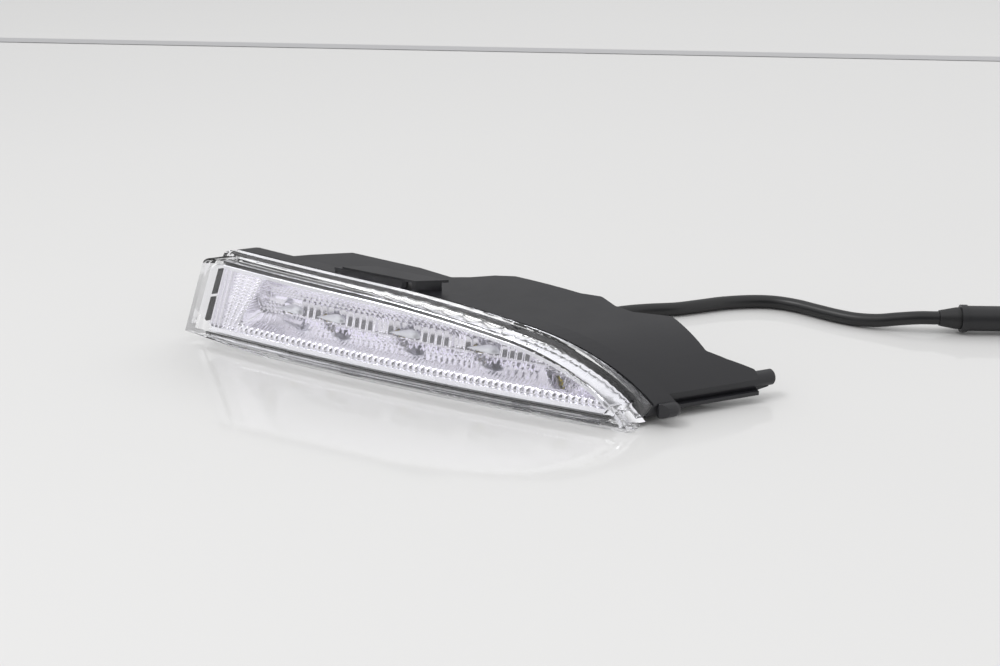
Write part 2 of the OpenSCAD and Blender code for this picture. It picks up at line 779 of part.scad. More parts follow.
module plug_nut() color([0.07, 0.07, 0.07]) at_plug(boot_l + plug_l) difference() {
    union() {
        cylinder(d = plug_d, h = nut_l, $fn = round_fn);
        for (k = [0:11]) rotate([0, 0, 30 * k]) translate([plug_d / 2 - 0.7, 0, 1.5])
            cylinder(r = 1.1, h = nut_l - 4, $fn = 24);
    }
    translate([0, 0, 2.2]) cylinder(d = plug_d - 2, h = nut_l, $fn = round_fn);
    translate([0, 0, -1]) cylinder(d = plug_d - 4.4, h = nut_l, $fn = round_fn);
}

module plug_seal() color([0.45, 0.1, 0.08]) at_plug(boot_l + plug_l + 4) rotate_extrude($fn = round_fn)
    translate([plug_d / 2 - 2.2 + 0.6, 0]) circle(r = 0.6, $fn = 24);

module plug_pins() color([0.8, 0.65, 0.3]) at_plug(boot_l) contacts() difference() {
    cylinder(r = pin_r, h = pin_l, $fn = 24);
    translate([0, 0, 1]) cylinder(r = pin_r - 0.4, h = pin_l, $fn = 24);
}

outer_lens();
lens_seal();
housing();
reflector();
led_1();
led_2();
led_3();
led_4();
led_5();
led_board();
heat_sink();
board_screws();
driver_board();
driver_screws();
inductor();
capacitor();
driver_chip();
wire_header();
supply_lead_red();
supply_lead_black();
led_lead_red();
led_lead_black();
breather_cap();
cable_gland();
cable();
plug_boot();
plug_nut();
plug_seal();
plug_body();
plug_pins();
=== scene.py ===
# Looks of the daytime running light: materials, fine optics, cable, floor, lights and camera.
# Lengths are millimetres in the lamp's own coordinates: x along the lens from its lower left corner,
# depth behind the lens front, z up. to_frame() turns them into metres in the shared frame.
import json
import math

import bmesh
import bpy
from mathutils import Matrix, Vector


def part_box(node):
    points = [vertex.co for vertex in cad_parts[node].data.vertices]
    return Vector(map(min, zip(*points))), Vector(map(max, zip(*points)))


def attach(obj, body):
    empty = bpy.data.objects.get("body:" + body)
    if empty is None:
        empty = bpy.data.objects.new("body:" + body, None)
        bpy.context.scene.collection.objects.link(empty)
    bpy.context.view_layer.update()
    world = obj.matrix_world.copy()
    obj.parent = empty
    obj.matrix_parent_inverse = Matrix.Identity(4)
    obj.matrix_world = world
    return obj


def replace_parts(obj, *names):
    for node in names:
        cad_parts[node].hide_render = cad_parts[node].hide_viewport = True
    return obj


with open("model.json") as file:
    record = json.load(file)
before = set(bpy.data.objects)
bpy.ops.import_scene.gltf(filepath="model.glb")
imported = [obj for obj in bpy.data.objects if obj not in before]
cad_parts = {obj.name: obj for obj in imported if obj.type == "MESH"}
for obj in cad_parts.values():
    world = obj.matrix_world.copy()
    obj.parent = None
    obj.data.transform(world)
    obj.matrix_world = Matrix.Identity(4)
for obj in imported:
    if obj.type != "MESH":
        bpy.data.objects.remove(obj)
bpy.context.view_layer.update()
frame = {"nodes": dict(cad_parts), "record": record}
NODES = frame["nodes"]
SLOTS = {part["node"]: part["material_slot"] for part in frame["record"]["subparts"]}
MM = 0.001
UP = Vector((0, 0, 1))
LEDS = range(5)
CORNERS = ((-1, -1), (1, -1), (1, 1), (-1, 1))

# Driving sizes of the lamp, as in the CAD part
LENS_LEN = 240
LENS_H = 46.5
LENS_SWEEP = 1300
LENS_WALL = 2.2
SKIRT_H = 3.2
DRAW = math.radians(50)
BODY_DEPTH = 59
BODY_INSET = 5
WALL = 2.2
APEX_X = LENS_LEN * 0.372
LAST_LED_X = LENS_LEN - 44
LED_PITCH = 39.5
FIRST_PITCH = 23.5
LED_Z = 18.8
LED_W = 3.5
MIRROR_BACK = 16.5
MIRROR_T = 1.5
BOARD_FRONT = MIRROR_BACK + MIRROR_T + 1.2

# Upper outline of the lens rim across the draw direction, as in the CAD part
TOP_SLOPE = math.atan(0.038)
LEFT_LEAN = math.radians(17.3)
SHOULDER_R = 294
NOSE_R = 62.5
END_N = LENS_LEN * math.sin(DRAW) - 9.4
SHOULDER_N = END_N - 97.8
NOSE_N = END_N - 41.5
SHOULDER_C = (SHOULDER_N - SHOULDER_R * math.sin(TOP_SLOPE),
              LENS_H - SHOULDER_N * math.tan(TOP_SLOPE) - SHOULDER_R * math.cos(TOP_SLOPE))
NOSE_TURN = math.asin((NOSE_N - SHOULDER_C[0]) / SHOULDER_R)
NOSE_C = (SHOULDER_C[0] + (SHOULDER_R - NOSE_R) * math.sin(NOSE_TURN),
          SHOULDER_C[1] + (SHOULDER_R - NOSE_R) * math.cos(NOSE_TURN))

# Reflector section: depth of its front, inset from the lens rim, then heights from the lower edge up
MIRROR_FRONT = LENS_WALL + 1.4
MIRROR_INSET = BODY_INSET + WALL + 0.4
BEAD_Z = SKIRT_H + LENS_WALL + 2.2
SHELF_Z = LED_Z - 2.6
HOOD_Z = LED_Z + 2.2

# The gland's middle and end give the lamp's place in the frame
GLAND_X = LENS_LEN - 77
GLAND_END = BODY_DEPTH + 20
gland_low, gland_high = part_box("cable_gland")
ORIGIN_X = (gland_low.x + gland_high.x) / 2 - GLAND_X * MM
ORIGIN_Y = gland_high.y - GLAND_END * MM


def to_frame(x, y, z):
    return Vector((x * MM + ORIGIN_X, y * MM + ORIGIN_Y, z * MM))


def arc_plan(x, depth):
    """Plan position, in the lamp's millimetres, of the point at x along the lens and depth behind it."""
    turn = math.asin((x - APEX_X) / LENS_SWEEP)
    radius = LENS_SWEEP - depth
    return APEX_X + radius * math.sin(turn), LENS_SWEEP - radius * math.cos(turn)


def on_arc(x, depth, z):
    """Point in the frame at x along the lens, depth behind its curved front and height z."""
    return to_frame(*arc_plan(x, depth), z)


def across_draw(x, depth):
    """Distance n across the draw direction of that point."""
    px, py = arc_plan(x, depth)
    return px * math.sin(DRAW) - py * math.cos(DRAW)


def swept(n, z, depth):
    """Point in the frame at n across the draw direction, height z and depth behind the lens front."""
    u = Vector((math.sin(DRAW), -math.cos(DRAW)))
    v = Vector((math.cos(DRAW), math.sin(DRAW)))
    start = n * u - Vector((APEX_X, LENS_SWEEP))
    b = start.dot(v)
    t = -b - math.sqrt(b * b - start.length_squared + (LENS_SWEEP - depth) ** 2)
    place = n * u + t * v
    return to_frame(place.x, place.y, z)


def rim_top(n, inset):
    """Height of the rim's upper outline at n, moved in by inset."""
    if n < SHOULDER_N:
        return LENS_H - n * math.tan(TOP_SLOPE) - inset / math.cos(TOP_SLOPE)
    centre, radius = (SHOULDER_C, SHOULDER_R) if n < NOSE_N else (NOSE_C, NOSE_R)
    reach = (radius - inset) ** 2 - (n - centre[0]) ** 2
    return centre[1] + math.sqrt(max(reach, 0))


def led_x(i):
    return LAST_LED_X - ((4 - i) * LED_PITCH if i > 0 else 3 * LED_PITCH + FIRST_PITCH)


# Meshes. Angles are the largest between faces that look like one smooth surface.
EDGED = 40
OPTIC = 50
ALL_ROUND = 180


def add_object(name, data):
    obj = bpy.data.objects.new(name, data)
    bpy.context.scene.collection.objects.link(obj)
    return obj


def add_mesh(name, points, faces, slot, coat=None, smooth=0):
    """A piece of the lamp. coat is its material where that isn't the slot's own, and smooth its angle."""
    mesh = bpy.data.meshes.new(name)
    mesh.from_pydata(points, [], faces)
    if smooth:
        mesh.shade_smooth()
        mesh.set_sharp_from_angle(angle=math.radians(smooth))
    mesh.materials.append(MATERIALS[coat or slot])
    obj = add_object(name, mesh)
    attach(obj, "root")
    return obj


def add_ground(name, corners, material):
    """A flat sheet of the stage."""
    mesh = bpy.data.meshes.new(name)
    mesh.from_pydata(corners, [], [(0, 1, 2, 3)])
    mesh.materials.append(material)
    add_object(name, mesh)


def grid_faces(rows, columns):
    return [(i * columns + j, i * columns + j + 1, (i + 1) * columns + j + 1, (i + 1) * columns + j)
            for i in range(rows - 1) for j in range(columns - 1)]


def wall_faces(rings, sides):
    """Faces between neighbouring rings of points; each ring has the same number of sides."""
    faces = []
    for low in range(0, (rings - 1) * sides, sides):
        for a in range(sides):
            b = (a + 1) % sides
            faces.append((low + a, low + b, low + sides + b, low + sides + a))
    return faces


def loft_faces(rings, sides):
    """The same, with both ends closed."""
    last = (rings - 1) * sides
    return wall_faces(rings, sides) + [tuple(range(sides))[::-1], tuple(range(last, last + sides))]


def paint(obj, slot):
    obj.data.materials.clear()
    obj.data.materials.append(MATERIALS[slot])


# Materials. Waves are those of a noise, per metre; depths are those of bumps, in metres.
GLOSS_WAVES = 60
GRAIN_WAVES = 2500
GRAIN_DEPTH = 0.0001
MIRROR_WAVES = 80
RIPPLE_WAVES = 500
RIPPLE_DEPTH = 0.0003
RIPPLE_BUMP = 0.12
PLASTIC_IOR = 1.5
# The middle part of a noise's range, where most of its values lie
NOISE_LOW, NOISE_HIGH = 0.3, 0.7


def new_material(name):
    material = bpy.data.materials.new(name)
    material.use_nodes = True
    tree = material.node_tree
    return material, tree, tree.nodes["Principled BSDF"]


def add_node(tree, kind, **values):
    node = tree.nodes.new(kind)
    for key, value in values.items():
        setattr(node, key, value)
    return node


def add_noise(tree, scale, detail=3.0):
    """Noise in object coordinates; scale is in waves per metre."""
    place = add_node(tree, "ShaderNodeTexCoord")
    noise = add_node(tree, "ShaderNodeTexNoise")
    noise.inputs["Scale"].default_value = scale
    noise.inputs["Detail"].default_value = detail
    tree.links.new(place.outputs["Object"], noise.inputs["Vector"])
    return noise


def add_bump(tree, shader, height, strength, distance):
    bump = add_node(tree, "ShaderNodeBump")
    bump.inputs["Strength"].default_value = strength
    bump.inputs["Distance"].default_value = distance
    tree.links.new(height, bump.inputs["Height"])
    tree.links.new(bump.outputs["Normal"], shader.inputs["Normal"])


def spread(tree, value, low, high):
    """Maps a noise value to the range from low to high."""
    ramp = add_node(tree, "ShaderNodeMapRange")
    ramp.inputs["From Min"].default_value = NOISE_LOW
    ramp.inputs["From Max"].default_value = NOISE_HIGH
    ramp.inputs["To Min"].default_value = low
    ramp.inputs["To Max"].default_value = high
    tree.links.new(value, ramp.inputs["Value"])
    return ramp.outputs["Result"]


def plain_material(name, color, roughness, metallic=0.0, grain=GRAIN_WAVES, bump=0.15, gloss_spread=0.06):
    """A moulded, cast or painted surface: a fine grain and a slow change of gloss."""
    material, tree, shader = new_material(name)
    shader.inputs["Base Color"].default_value = (*color, 1)
    shader.inputs["Metallic"].default_value = metallic
    slow = add_noise(tree, GLOSS_WAVES)
    gloss = spread(tree, slow.outputs["Fac"], roughness - gloss_spread, roughness + gloss_spread)
    tree.links.new(gloss, shader.inputs["Roughness"])
    fine = add_noise(tree, grain)
    add_bump(tree, shader, fine.outputs["Fac"], bump, GRAIN_DEPTH)
    return material


def clear_material(name, tint):
    """Clear plastic: it bends light, and lets the lamps through to what is behind it."""
    material, tree, shader = new_material(name)
    shader.inputs["Base Color"].default_value = (*tint, 1)
    shader.inputs["Roughness"].default_value = 0
    shader.inputs["Transmission Weight"].default_value = 1
    shader.inputs["IOR"].default_value = PLASTIC_IOR
    rays = add_node(tree, "ShaderNodeLightPath")
    through = add_node(tree, "ShaderNodeBsdfTransparent")
    mix = add_node(tree, "ShaderNodeMixShader")
    tree.links.new(rays.outputs["Is Shadow Ray"], mix.inputs["Fac"])
    tree.links.new(shader.outputs["BSDF"], mix.inputs[1])
    tree.links.new(through.outputs["BSDF"], mix.inputs[2])
    tree.links.new(mix.outputs["Shader"], tree.nodes["Material Output"].inputs["Surface"])
    return material


def mirror_material(name, color, low, high):
    """Vapour-deposited aluminium: a mirror with a slow change of gloss and a trace of ripple."""
    material, tree, shader = new_material(name)
    shader.inputs["Base Color"].default_value = (*color, 1)
    shader.inputs["Metallic"].default_value = 1
    slow = add_noise(tree, MIRROR_WAVES)
    tree.links.new(spread(tree, slow.outputs["Fac"], low, high), shader.inputs["Roughness"])
    ripple = add_noise(tree, RIPPLE_WAVES, detail=1.0)
    add_bump(tree, shader, ripple.outputs["Fac"], RIPPLE_BUMP, RIPPLE_DEPTH)
    return material


MATERIALS = {
    "clear_lens": clear_material("clear_lens", (0.985, 0.985, 1.0)),
    "seal_rubber": plain_material("seal_rubber", (0.015, 0.015, 0.016), 0.4),
    "housing_black": plain_material("housing_black", (0.016, 0.016, 0.019), 0.34, grain=3000, bump=0.08),
    "mirror_coat": mirror_material("mirror_coat", (0.965, 0.95, 1.0), 0.05, 0.13),
    "ledge_coat": mirror_material("ledge_coat", (0.95, 0.95, 0.98), 0.12, 0.3),
    "hood_satin": plain_material("hood_satin", (0.95, 0.96, 1.0), 0.22, metallic=0.5, bump=0.03),
    "led_package": plain_material("led_package", (0.95, 0.78, 0.12), 0.2, bump=0.02),
    "led_ceramic": plain_material("led_ceramic", (0.85, 0.84, 0.8), 0.35, bump=0.05),
    "white_board": plain_material("white_board", (0.8, 0.8, 0.78), 0.35),
    "sink_aluminium": plain_material("sink_aluminium", (0.75, 0.76, 0.78), 0.35, metallic=1.0),
    "zinc_steel": plain_material("zinc_steel", (0.6, 0.6, 0.58), 0.3, metallic=1.0),
    "green_board": plain_material("green_board", (0.02, 0.12, 0.035), 0.3),
    "ferrite": plain_material("ferrite", (0.08, 0.08, 0.085), 0.6),
    "can_aluminium": plain_material("can_aluminium", (0.7, 0.7, 0.72), 0.25, metallic=1.0),
    "chip_black": plain_material("chip_black", (0.02, 0.02, 0.02), 0.5),
    "header_cream": plain_material("header_cream", (0.8, 0.76, 0.62), 0.4),
    "red_sleeve": plain_material("red_sleeve", (0.4, 0.01, 0.01), 0.35),
    "black_sleeve": plain_material("black_sleeve", (0.015, 0.015, 0.015), 0.35),
    "black_rubber": plain_material("black_rubber", (0.012, 0.012, 0.013), 0.45, grain=1800),
    "cable_sheath": plain_material("cable_sheath", (0.01, 0.01, 0.011), 0.34, grain=1500, bump=0.1),
    "plug_black": plain_material("plug_black", (0.014, 0.014, 0.016), 0.38),
    "seal_red": plain_material("seal_red", (0.3, 0.03, 0.02), 0.4),
    "contact_brass": plain_material("contact_brass", (0.8, 0.6, 0.25), 0.2, metallic=1.0),
}


# Camera, at the photo's viewing angle
PHOTO_TARGET = (131.8, 78.95, 0)
PHOTO_CAMERA = (488.73, -564.95, 297.44)
FOCAL_LENGTH = 60
SENSOR_WIDTH = 36


def add_camera():
    data = bpy.data.cameras.new("camera")
    data.lens = FOCAL_LENGTH
    data.sensor_width = SENSOR_WIDTH
    camera = add_object("camera", data)
    camera.location = to_frame(*PHOTO_CAMERA)
    look = to_frame(*PHOTO_TARGET) - camera.location
    camera.rotation_euler = look.to_track_quat("-Z", "Y").to_euler()
    bpy.context.scene.camera = camera


# Cable: its route's points, in metres in the shared frame, as in the CAD part
CABLE_D = 0.0064
CABLE_SIDES = 28
ROUTE_STEPS = 6
ROUTE = [
    (0.0249, 0.0418, 0.017), (0.0249, 0.047, 0.017), (0.0252, 0.0532, 0.0156), (0.0259, 0.0597, 0.0122),
    (0.0272, 0.0665, 0.008), (0.0291, 0.0732, 0.0048), (0.0319, 0.0798, 0.0035), (0.0359, 0.0857, 0.0033),
    (0.0412, 0.0912, 0.0033), (0.0479, 0.0967, 0.0033), (0.0576, 0.1038, 0.0033), (0.0663, 0.1132, 0.0033),
    (0.0744, 0.1222, 0.0033), (0.0852, 0.1307, 0.0033), (0.0957, 0.1356, 0.0033), (0.1069, 0.1366, 0.0033),
    (0.1177, 0.1349, 0.0033), (0.1284, 0.1332, 0.0033), (0.1389, 0.1328, 0.0034), (0.1489, 0.1344, 0.0041),
    (0.1579, 0.1372, 0.0056), (0.1669, 0.1402, 0.0069), (0.1754, 0.1444, 0.007),
]


def smooth_line(points, steps):
    """Points on a smooth curve through the given ones."""
    line = [Vector(p) for p in points]
    ends = [2 * line[0] - line[1]] + line + [2 * line[-1] - line[-2]]
    found = []
    for i in range(len(line) - 1):
        a, b, c, d = ends[i:i + 4]
        for k in range(steps):
            t = k / steps
            found.append(0.5 * (2 * b + (c - a) * t + (2 * a - 5 * b + 4 * c - d) * t * t
                                + (3 * b - a - 3 * c + d) * t ** 3))
    return found + [line[-1]]


def add_cable():
    """The cable as a tube of rings along its route, with closed ends."""
    path = smooth_line(ROUTE, ROUTE_STEPS)
    points = []
    for i, place in enumerate(path):
        run = (path[min(i + 1, len(path) - 1)] - path[max(i - 1, 0)]).normalized()
        side = run.cross(UP).normalized()
        up = side.cross(run)
        for k in range(CABLE_SIDES):
            turn = 2 * math.pi * k / CABLE_SIDES
            points.append(place + CABLE_D / 2 * (math.cos(turn) * side - math.sin(turn) * up))
    faces = loft_faces(len(path), CABLE_SIDES)
    cable = add_mesh("cable_sheath", points, faces, "cable_sheath", smooth=EDGED)
    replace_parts(cable, "cable")


# Reflector. x is along the lens and z up; a column's base is its x at LOW_Z, because the left end leans.
LOW_Z = 11
LEFT_BASE, DOTS_BASE, EDGE_BASE, CELL_BASE = 17.2, 24.4, 32.7, 62
LEANS = ((LEFT_BASE, 0.373), (DOTS_BASE, 0.36), (EDGE_BASE, 0.67), (CELL_BASE, 0))
FIELD_DEPTH = 4.6
SIDE_RUN = 5
TIP_X = LENS_LEN - 13.5
TIP_START, TIP_END = TIP_X - 12, TIP_X - 3
TIP_DEPTH = MIRROR_FRONT + 1.2
TIP_SHARE = 0.8

# Its smooth section: a step that carries the beads, a curved shelf, an upright part and a dish. The dish
# starts at HOOD_Z, or HOOD_ROOM under a low crown, but at least HOOD_ROOM over BEAD_Z.
STEP_H = 3.4
STEP_FRONT = MIRROR_FRONT + 1
STEP_BACK = STEP_FRONT + 0.9
SHELF_CURVE = 0.8
DISH_FRONT = MIRROR_FRONT + 0.9
HOOD_ROOM = 6

# Left field: ragged stripes, then columns of small ovals. An out value is how far an optic stands out.
STRIPE_PITCH, STRIPE_RAG_PITCH, STRIPE_RAG, STRIPE_OUT = 2.4, 1.3, 0.3, 1.2
DOT_COLUMNS, DOT_PITCH, DOT_OUT = 3, 1.75, 1.1

# Bead row and the row of small beads over it
BEAD_PITCH, BEAD_H, BEAD_OUT = 3.0, 3.2, 1.1
SMALL_PITCH, SMALL_H, SMALL_OUT, SMALL_SHIFT = BEAD_PITCH * 0.62, 1.6, 0.4, 1.2

# Rows of ovals in the first cell. Each row has a lower and an upper edge, given by the start and end of
# its blend.
OVAL_ROWS = (((15.6, 16), (21, 21.6)), ((25.4, 25.8), (31.6, 32)))
OVAL_PITCH, OVAL_H, OVAL_OUT, OVAL_SLOPE, OVAL_START = 2.1, 1.7, 0.75, 0.07, 40
OVAL_END = CELL_BASE + 2

# A trace of waviness on the shelf, and checks between it and the facets
WAVE_X, WAVE_Z, WAVE_PITCH, WAVE_OUT = 0.3, 2, 4.7, 0.05
CHECK_LOW = SHELF_Z - 2.6
CHECK_PITCH, CHECK_RIB, CHECK_OUT, CHECK_H, CHECK_SWELL = 2.3, 0.3, 0.5, 1.5, 0.4
RIB_SWELL = 0.3

# Facets beside each hood, turned to the right and up, with upright ribs between them, and fans above.
# A facet belongs to the last LED that is less than FACET_LEFT to its right, or else to the second one.
FACET_LOW, FACET_HIGH = LED_Z - 0.6, LED_Z + 6.4
FACET_PITCH, FACET_RIB, FACET_OUT, FACET_TURN, FACET_LEAN = 3.6, 0.36, 2.7, 1.1, 2.3
FACET_RIB_OUT = 0.9
FACET_REACH = 27
FACET_LEFT = 6
FAN_PITCH, FAN_H, FAN_BEND, FAN_OUT, FAN_RIPPLE = FACET_PITCH * 0.8, 2.3, 0.05, 0.9, 0.55

# Cup round each LED: the radii between which it fades out, and its depth
CUP_IN, CUP_OUT, CUP_DEPTH = 2.2, 3.2, 0.4

# Its mesh: coarse squares of about STEP, each with SUB by SUB fine ones in front. Over UPPER_Z the rows
# spread out to the crown.
SUB = 5
STEP = 1.55
WINDOW_HALF = 1.8
FIELD_STEPS = [3, 5, 3]
WINDOW_STEPS = 2
STEPS_BELOW, STEPS_OVER, STEPS_UP = 5, 1, 11
UPPER_Z = HOOD_Z + 1
LEAST_UPPER_H = 1
BACK_GAP = 0.4
CROWN_DEPTH = 8
CROWN_GAP = 0.2
LOWEST_CROWN = BEAD_Z + 1
HALVINGS = 24


def between(x, low, high):
    """0 below low, 1 above high and smooth between."""
    t = min(1, max(0, (x - low) / (high - low)))
    return t * t * (3 - 2 * t)


def pillow(value, pitch):
    """0 at the ends of each pitch and 1 in its middle, round between."""
    t = (value / pitch) % 1
    return 1 - (2 * t - 1) ** 2


def prism(value, pitch, rib, height):
    """A ramp that falls away to the right, with a rounded rib on its high edge."""
    t = (value / pitch) % 1
    if t < rib:
        return height * (1 + RIB_SWELL * math.sin(math.pi * t / rib))
    return height * (1 - (t - rib) / (1 - rib))


def column_lean(base):
    for (a, lean_a), (b, lean_b) in zip(LEANS, LEANS[1:]):
        if base < b:
            return lean_a + (lean_b - lean_a) * (base - a) / (b - a)
    return 0


def column_x(base, z):
    return base + column_lean(base) * (z - LOW_Z)


def section_depth(z, top):
    """Depth of the smooth section at height z in a column whose upper edge is at top."""
    hood = min(HOOD_Z, max(top - HOOD_ROOM, BEAD_Z + HOOD_ROOM))
    shelf = hood - (HOOD_Z - SHELF_Z)
    step = BEAD_Z + STEP_H
    if z < step:
        return STEP_FRONT + (STEP_BACK - STEP_FRONT) * (z - BEAD_Z) / STEP_H
    if z < shelf:
        return STEP_BACK + (MIRROR_BACK - STEP_BACK) * ((z - step) / (shelf - step)) ** SHELF_CURVE
    if z < hood:
        return MIRROR_BACK
    return MIRROR_BACK - (MIRROR_BACK - DISH_FRONT) * ((z - hood) / (top - hood)) ** 2


def left_field(base, z):
    """How far the optics of the leaning field at the left end stand out."""
    if base < DOTS_BASE:
        rag = 1 - STRIPE_RAG + STRIPE_RAG * pillow(z, STRIPE_RAG_PITCH)
        return STRIPE_OUT * pillow(base - LEFT_BASE, STRIPE_PITCH) * rag
    return DOT_OUT * pillow(base - DOTS_BASE, (EDGE_BASE - DOTS_BASE) / DOT_COLUMNS) * pillow(z, DOT_PITCH)


def facet(away, rise):
    """A flat facet turned to the dark side of the room, with a round upright rib at its left edge."""
    t = (away / FACET_PITCH) % 1
    if t < FACET_RIB:
        across = FACET_RIB_OUT * math.sin(math.pi * t / FACET_RIB)
    else:
        across = -FACET_TURN * (t - FACET_RIB) / (1 - FACET_RIB)
    return FACET_OUT + across - FACET_LEAN * rise


def ovals(x, z):
    rows = sum(between(z, *low) * (1 - between(z, *high)) for low, high in OVAL_ROWS)
    return OVAL_OUT * rows * pillow(x, OVAL_PITCH) * pillow(z - OVAL_SLOPE * (x - OVAL_START), OVAL_H)


def fans(away, rise):
    ripple = 1 - FAN_RIPPLE + FAN_RIPPLE * pillow(rise, FAN_H)
    return FAN_OUT * pillow(away + FAN_BEND * rise * rise, FAN_PITCH) * ripple


def cell_optic(x, z):
    """How far the optics of the five cells stand out of the smooth section."""
    over_beads = z - BEAD_Z - BEAD_H
    if over_beads < 0:
        return BEAD_OUT * math.sqrt(pillow(x, BEAD_PITCH) * pillow(z - BEAD_Z, BEAD_H))
    if over_beads < SMALL_H:
        return SMALL_OUT * pillow(x + SMALL_SHIFT, SMALL_PITCH) * pillow(over_beads, SMALL_H)
    if x < OVAL_END:
        return ovals(x, z)
    if z < CHECK_LOW:
        return WAVE_OUT * pillow(WAVE_X * x + WAVE_Z * z, WAVE_PITCH)
    away = x - max(led_x(i) for i in LEDS if i == 1 or led_x(i) < x + FACET_LEFT)
    if z < FACET_LOW:
        checks = prism(away, CHECK_PITCH, CHECK_RIB, CHECK_OUT)
        checks += CHECK_SWELL * pillow(z - FACET_LOW, CHECK_H)
        return checks * between(z, CHECK_LOW, SHELF_Z)
    if z < FACET_HIGH and away < FACET_REACH:
        return facet(away, (z - FACET_LOW) / (FACET_HIGH - FACET_LOW))
    return fans(away, max(0, z - FACET_HIGH))


def reflector_depth(base, x, z, top):
    """Depth of the reflector's front: the left field, the cells with a cup round each LED, the flat tip."""
    side = between(base, EDGE_BASE, EDGE_BASE + SIDE_RUN)
    tip = between(x, TIP_START, TIP_END)
    away = min(math.hypot(x - led_x(i), z - LED_Z) for i in LEDS)
    cup = 1 - between(away, CUP_IN, CUP_OUT)
    cell = section_depth(z, top) - (1 - cup) * (1 - tip) * cell_optic(x, z) + CUP_DEPTH * cup
    cell += (TIP_DEPTH - cell) * TIP_SHARE * tip
    return (FIELD_DEPTH - left_field(base, z)) * (1 - side) + cell * side


def split(marks, counts):
    """Values between marks, counts[i] coarse steps in each span and SUB fine steps in each of those."""
    found = [marks[0]]
    for a, b, count in zip(marks, marks[1:], counts):
        found += [a + (b - a) * (k + 1) / (count * SUB) for k in range(count * SUB)]
    return found


def crown(base):
    """Height of the reflector's upper edge in a column, found by halving."""
    low, high = LOWEST_CROWN, LENS_H
    for _ in range(HALVINGS):
        z = (low + high) / 2
        if z < rim_top(across_draw(column_x(base, z), CROWN_DEPTH), MIRROR_INSET + CROWN_GAP):
            low = z
        else:
            high = z
    return low


def column_bases():
    """The fine columns, and the coarse index of the left edge of each LED window."""
    marks, counts = [LEFT_BASE, DOTS_BASE, EDGE_BASE, EDGE_BASE + SIDE_RUN], list(FIELD_STEPS)
    lefts = []
    for i in LEDS:
        counts.append(round((led_x(i) - WINDOW_HALF - marks[-1]) / STEP))
        lefts.append(sum(counts))
        counts.append(WINDOW_STEPS)
        marks += [led_x(i) - WINDOW_HALF, led_x(i) + WINDOW_HALF]
    counts.append(round((TIP_X - marks[-1]) / STEP))
    return split(marks + [TIP_X], counts), lefts


def reflector_points():
    """Points of the fine front, then of the coarse back. back gives the number of a point of the back, and
    lefts the coarse columns where the LED windows start."""
    bases, lefts = column_bases()
    crowns = [crown(base) for base in bases]
    heights = split([BEAD_Z, LED_Z - WINDOW_HALF, LED_Z + WINDOW_HALF, UPPER_Z],
                    [STEPS_BELOW, WINDOW_STEPS, STEPS_OVER])
    upper = STEPS_UP * SUB
    columns, rows = len(bases), len(heights) + upper

    def spot(i, j, behind):
        base, top = bases[j], crowns[j]
        squeeze = min(1, (top - LEAST_UPPER_H - BEAD_Z) / (UPPER_Z - BEAD_Z))
        z = BEAD_Z + (heights[min(i, len(heights) - 1)] - BEAD_Z) * squeeze
        if i >= len(heights):
            z += (top - z) * (i - len(heights) + 1) / upper
        x = column_x(base, z)
        return on_arc(x, reflector_depth(base, x, z, top) + behind, z)

    points = [spot(i, j, 0) for i in range(rows) for j in range(columns)]
    back = {}
    for i in range(0, rows, SUB):
        for j in range(0, columns, SUB):
            back[i, j] = len(points)
            points.append(spot(i, j, MIRROR_T + BACK_GAP))
    return points, back, rows, columns, lefts


def add_reflector():
    """A closed shell: a fine front, a coarse back and walls round the edge and the LED windows."""
    points, back, rows, columns, lefts = reflector_points()
    window = [(a, b) for a in range(WINDOW_STEPS) for b in range(WINDOW_STEPS)]
    windows = {(STEPS_BELOW + a, left + b) for left in lefts for a, b in window}
    kept = {(i, j) for i in range((rows - 1) // SUB) for j in range((columns - 1) // SUB)} - windows
    faces = []
    for i, j in sorted(kept):
        low, left = i * SUB, j * SUB
        for a in range(low, low + SUB):
            for b in range(left, left + SUB):
                first = a * columns + b
                faces.append((first, first + 1, first + columns + 1, first + columns))
        corners = [(low, left), (low + SUB, left), (low + SUB, left + SUB), (low, left + SUB)]
        faces.append([back[corner] for corner in corners])
        sides = (((i - 1, j), corners[0], corners[3]), ((i, j + 1), corners[3], corners[2]),
                 ((i + 1, j), corners[2], corners[1]), ((i, j - 1), corners[1], corners[0]))
        for beside, (a, b), (c, d) in sides:
            if beside not in kept:
                edge = [(a + (c - a) * k // SUB) * columns + b + (d - b) * k // SUB for k in range(SUB + 1)]
                faces.append(edge[::-1] + [back[a, b], back[c, d]])
    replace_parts(add_mesh("reflector_optics", points, faces, "mirror_coat", smooth=OPTIC), "reflector")


# Ledge: its section as (inset, depth), its gap at the left end and its turn round the nose
LEDGE = ((7.5, 4.9), (6.1, 4.4), (5.9, 9.2), (5.35, 9.2), (5.4, 3.6), (5.9, 3.1), (7.7, 3.5), (7.9, 4.3))
LEDGE_START = 0.3
LEDGE_END = math.radians(62)
SLOPE_STEPS, SHOULDER_STEPS, NOSE_STEPS = 30, 40, 60

# Lower lip: its section as (height over BEAD_Z, depth), and its two ends
LIP = ((0.5, 4.4), (0.2, 3.3), (-1.9, 3.0), (-1.9, 8.8), (-1.2, 8.8), (-1.2, 4.6))
LIP_LEFT, LIP_RIGHT = LEFT_BASE - 1, TIP_X + 2
LIP_STEPS = 120

# Dark strips behind the lens's left wall: their section as (inset, depth), and the heights of each
SEAM = ((5.1, 2.6), (5.45, 2.6), (5.45, 8.6), (5.1, 8.6))
SEAM_STEPS = 12
SEAMS = {"left_seam_low": (10, 23), "left_seam_high": (24.5, 38)}


